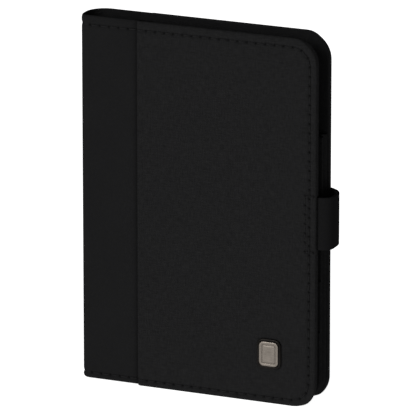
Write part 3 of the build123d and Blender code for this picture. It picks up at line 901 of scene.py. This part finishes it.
sewn = np.concatenate([cover_needles(front), *tacks])
for side, cover, notch, press, needles in (
    ("front", front, strap_notch, plaque_press, sewn),
    ("back", back, None, snap_press, cover_needles(back)),
):
    fabric = make_cover_panel(f"{side}_fabric", cover, notch, [press], needles)
    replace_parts(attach(fabric, f"{side}_cover"), f"{side}_fabric_panel")
for side, cover, steps, wide in (
    ("front", front, FRONT_WRAP_STEPS, 0.0335), ("back", back, BACK_WRAP_STEPS, 0.036),
):
    wrap = make_wrap_half(f"spine_wrap_{side}_half", cover, steps)
    blend_fold(wrap)
    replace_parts(wrap, f"spine_wrap_{side}", "spine_wrap_middle")
for side, cover, wide in (("front", front, 0.0985), ("back", back, 0.101)):
    lining = make_lining_half(f"lining_{side}_half", cover, f"{side}_lining")
    blend_fold(lining)
    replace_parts(lining, f"{side}_lining", "spine_lining")

pocket_corner = CORNER - span("passport_pocket_panel")[0][2]
for node, name, tall, under in (
    ("passport_pocket_panel", "passport_pocket_front", 0.1045, "passport_pocket_bellows"),
    ("card_slot_upper", "card_slot_upper_panel", 0.0685, "passport_pocket_front"),
    ("card_slot_lower", "card_slot_lower_panel", 0.0485, "card_slot_upper_panel"),
    ("short_pocket", "short_pocket_panel", 0.0285, "card_slot_lower_panel"),
):
    low, high = span(node)
    back_y = high[1] - (0.0 if node == "passport_pocket_panel" else 0.1)
    sheet = make_sheet(name, node, low[1], back_y, pocket_corner, 0.0, POCKET, hem="top",
                       seams=("left", "right", "bottom"))
    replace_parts(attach(sheet, "back_cover"), node)
gusset = make_gusset("passport_pocket_bellows", "passport_pocket_gusset")
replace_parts(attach(gusset, "back_cover"), "passport_pocket_gusset")

slip_low, slip_high = span("front_slip_pocket")
slip = make_sheet("slip_pocket_panel", "front_slip_pocket", slip_high[1], slip_low[1] + 0.1, pocket_corner,
                  pocket_corner, POCKET, hem="left", seams=("right", "bottom"))
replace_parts(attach(slip, "front_cover"), "front_slip_pocket")

for node, body in (("front_padding", "front_cover"), ("back_padding", "back_cover")):
    low, high = span(node)
    pad = make_sheet(node + "_sheet", node, low[1], high[1], CORNER - low[2], CORNER - low[2], FOAM)
    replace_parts(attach(pad, body), node)

for layer, faces_out, finish, slot_name, wide, near_long, far_long in (
    ("outer", True, STRAP_SKIN, "smooth_wrap", 0.0205, 0.0257, 0.0315),
    ("lining", False, STRAP_LINING_PAINTED_LIGHT, "lining_fabric", 0.020, 0.0243, 0.0300),
):
    near = make_strap_layer(f"strap_{layer}_near", "near", faces_out, finish)
    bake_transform(near)
    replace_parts(near, f"strap_{layer}_root", f"strap_{layer}_bend")
    far = make_strap_layer(f"strap_{layer}_far", "far", faces_out, finish)
    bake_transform(far)
    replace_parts(far, f"strap_{layer}_bend", f"strap_{layer}_flap")


# --- sewing thread ---
def flat_normals(points, sign):
    """The way out of a flat cover or panel, at each needle hole."""
    return np.tile([0.0, -sign, 0.0], (len(points), 1))


for side, cover, steps in (("front", front, FRONT_WRAP_STEPS), ("back", back, BACK_WRAP_STEPS)):
    around = cover_needles(cover)
    runs = [(around, flat_normals(around, cover["sign"]))]
    for z in (STITCH_INSET, HEIGHT - STITCH_INSET):
        runs.append(wrap_needles(cover, steps, z))
    if side == "front":
        runs += [(tack, flat_normals(tack, 1.0)) for tack in tacks]
    sewing = stitches(f"{side}_perimeter_stitches", runs)
    blend_fold(sewing)

pocket_runs = []
previous_top = 3.0
for node in ("short_pocket", "card_slot_lower", "card_slot_upper", "passport_pocket_panel"):
    low, high = span(node)
    hem_z = high[2] - HEM_INSET
    hem = evenly((low[0] + 1.5, low[1], hem_z), (high[0] - 1.5, low[1], hem_z), INNER_PITCH)
    pocket_runs.append((hem, flat_normals(hem, 1.0)))
    for x in (low[0] + 2.5, high[0] - 2.5):
        start = previous_top + 0.6
        if x > 50 and start < 12:
            start = 12.0
        seam = evenly((x, low[1] + 0.1, start), (x, low[1] + 0.1, high[2] - 0.8), INNER_PITCH)
        pocket_runs.append((seam, flat_normals(seam, 1.0)))
    previous_top = high[2]
low, high = span("short_pocket")
base_y, base_z = low[1] + 0.1, low[2] + 2.5
base = evenly((low[0] + 2.5, base_y, base_z), (high[0] - pocket_corner, base_y, base_z), INNER_PITCH)
pocket_runs.append((base, flat_normals(base, 1.0)))
pocket_sewing = stitches("pocket_stitches", pocket_runs)
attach(pocket_sewing, "back_cover")

low, high = slip_low, slip_high
hem_x = low[0] + HEM_INSET
edge = evenly((hem_x, high[1], low[2] + 1.0), (hem_x, high[1], high[2] - 1.0), INNER_PITCH)
inside = outline(STITCH_INSET, 0.0)[STRAIGHT_STEPS - 10 * PER_STITCH : 2 * BOTTOM_STEPS + FORE_STEPS + 1]
inside = inside[::PER_STITCH]
inside = inside[inside[:, 0] > low[0] + 3]
inside = np.column_stack([inside[:, 0], np.full(len(inside), high[1] - 0.08), inside[:, 1]])
slip_sewing = stitches("slip_pocket_stitches", [(run, flat_normals(run, -1.0)) for run in (edge, inside)])
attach(slip_sewing, "front_cover")

# --- plaque ---
bezel = make_plate(
    "plaque_bezel", (bezel_low, bezel_high), 2.6,
    [(0.3, -0.25), (0.05, -0.2), (0.0, 0.1), (0.0, 0.38), (0.06, 0.54), (0.2, 0.66), (0.4, 0.7), (0.72, 0.7),
     (0.88, 0.66), (0.98, 0.56), (1.02, 0.42), (1.04, 0.3)],
    BEZEL,
)
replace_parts(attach(bezel, "front_cover"), "emblem_bezel")
plate = make_plate(
    "plaque_plate", (plate_low, plate_high), 1.8,
    [(0.05, 0.3), (0.02, 0.5), (0.03, 0.74), (0.08, 0.84), (0.2, 0.895), (0.35, 0.9), (0.92, 0.9),
     (0.98, 0.87), (1.04, 0.76), (1.12, 0.7), (1.28, 0.7), (1.36, 0.76), (1.42, 0.87), (1.48, 0.9),
     (1.9, 0.905), (2.8, 0.91)],
    PLATE,
)
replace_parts(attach(plate, "front_cover"), "emblem_plate")

# --- snap ---
flap_outer = snap_high[1] - 1.0
cap = lathe(
    "snap_cap_turned", SNAP_X, SNAP_Z,
    [(radius, flap_outer + rise) for radius, rise in (
        (0, 1.0), (1.2, 0.985), (2.6, 0.92), (4.0, 0.78), (4.9, 0.62), (5.2, 0.56), (5.4, 0.55), (5.65, 0.52),
        (5.88, 0.38), (5.98, 0.2), (5.9, 0.04), (5.6, -0.02), (1.7, -0.02), (1.7, -1.1), (0, -1.15),
    )],
    SNAP,
)
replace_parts(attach(cap, "strap_flap"), "snap_cap")
socket_low, socket_high = span("snap_socket")
s0, s1 = socket_low[1], socket_high[1]
socket = lathe(
    "snap_socket_turned", SNAP_X, SNAP_Z,
    [(0, s1), (4.3, s1), (4.7, s1 - 0.1), (4.8, s1 - 0.35), (4.75, s0 + 0.3), (4.55, s0 + 0.08), (4.2, s0),
     (3.7, s0 + 0.04), (3.4, s0 + 0.22), (3.1, s0 + 0.22), (2.8, s0 + 0.04), (2.45, s0), (2.2, s0 + 0.1),
     (2.1, s0 + 0.35), (2.1, s1 - 0.12), (0, s1 - 0.12)],
    SNAP,
)
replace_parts(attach(socket, "strap_flap"), "snap_socket")
stud_low, stud_high = span("snap_stud")
t0, t1 = stud_low[1], stud_high[1]
stud = lathe(
    "snap_stud_turned", SNAP_X, SNAP_Z,
    [(0, t0 - 0.05), (4.6, t0 - 0.05), (4.95, t0 + 0.06), (5.0, t0 + 0.2), (4.9, t0 + 0.38), (4.6, t0 + 0.48),
     (3.9, t0 + 0.5), (2.6, t0 + 0.46), (2.0, t0 + 0.5), (1.72, t0 + 0.7), (1.7, t1 - 0.45),
     (1.86, t1 - 0.25), (1.9, t1 - 0.14), (1.75, t1 - 0.02), (1.4, t1), (0.8, t1 - 0.02), (0.5, t1 - 0.15),
     (0, t1 - 0.18)],
    SNAP,
)
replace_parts(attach(stud, "back_cover"), "snap_stud")

hidden = {"front_board": BOARD, "back_board": BOARD, "emblem_washer": SNAP, "snap_post": SNAP}
for node, finish in hidden.items():
    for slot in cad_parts[node].material_slots:
        slot.material = finish

# ---------------- floor, light and camera
floor_mesh = bpy.data.meshes.new("floor")
floor_mesh.from_pydata([(-9, -9, 0), (9, -9, 0), (9, 9, 0), (-9, 9, 0)], [], [(0, 1, 2, 3)])
floor = bpy.data.objects.new("floor", floor_mesh)
bpy.context.scene.collection.objects.link(floor)
n = Nodes("pale_floor")
floor_tone = n.tint(n.noise(n.solid((1, 1, 1)), 3.0), (0.58, 0.58, 0.58), (0.62, 0.62, 0.62))
floor_mesh.materials.append(
    n.set(Base_Color=floor_tone, Roughness=0.9, Specular_IOR_Level=0.1, Emission_Color=(1, 1, 1, 1),
          Emission_Strength=0.96)
)
floor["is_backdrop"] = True

world = bpy.data.worlds.new("studio")
bpy.context.scene.world = world
world.use_nodes = True
tree = world.node_tree
background = tree.nodes["Background"]
light_path = tree.nodes.new("ShaderNodeLightPath")
strength = tree.nodes.new("ShaderNodeMapRange")
strength.inputs["To Min"].default_value = 0.10
strength.inputs["To Max"].default_value = 1.05
tree.links.new(light_path.outputs["Is Camera Ray"], strength.inputs["Value"])
tree.links.new(strength.outputs["Result"], background.inputs["Strength"])
background.inputs["Color"].default_value = (1, 1, 1, 1)

for name, energy, spread, beam in (
    ("key", 2.45, 34, (0.34, 0.85, -0.40)),
    ("fill", 0.18, 60, (-0.75, 0.42, -0.52)),
):
    sun = bpy.data.lights.new(name, "SUN")
    sun.energy, sun.angle = energy, math.radians(spread)
    lamp = bpy.data.objects.new(name, sun)
    lamp.rotation_euler = Vector(beam).to_track_quat("-Z", "Y").to_euler()
    bpy.context.scene.collection.objects.link(lamp)

AZIMUTH, ELEVATION, DISTANCE = math.radians(23.35), math.radians(16.42), 2.3
AIM_ACROSS, AIM_UP = 0.00142, 0.0004
middle = (cad_low + cad_high) / 2
level = math.cos(ELEVATION)
away = Vector((math.sin(AZIMUTH) * level, -math.cos(AZIMUTH) * level, math.sin(ELEVATION)))
across = Vector((math.cos(AZIMUTH), math.sin(AZIMUTH), 0))
target = middle - across * AIM_ACROSS - away.cross(across) * AIM_UP
camera_data = bpy.data.cameras.new("camera")
camera_data.lens = 526.0
camera_data.sensor_width = 36.0
camera_data.clip_start, camera_data.clip_end = 0.05, 60.0
camera = bpy.data.objects.new("camera", camera_data)
camera.location = target + away * DISTANCE
camera.rotation_mode = "QUATERNION"
camera.rotation_quaternion = (-away).to_track_quat("-Z", "Y")
bpy.context.scene.collection.objects.link(camera)
bpy.context.scene.camera = camera
bpy.context.scene.view_settings.view_transform = "Standard"

low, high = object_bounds()
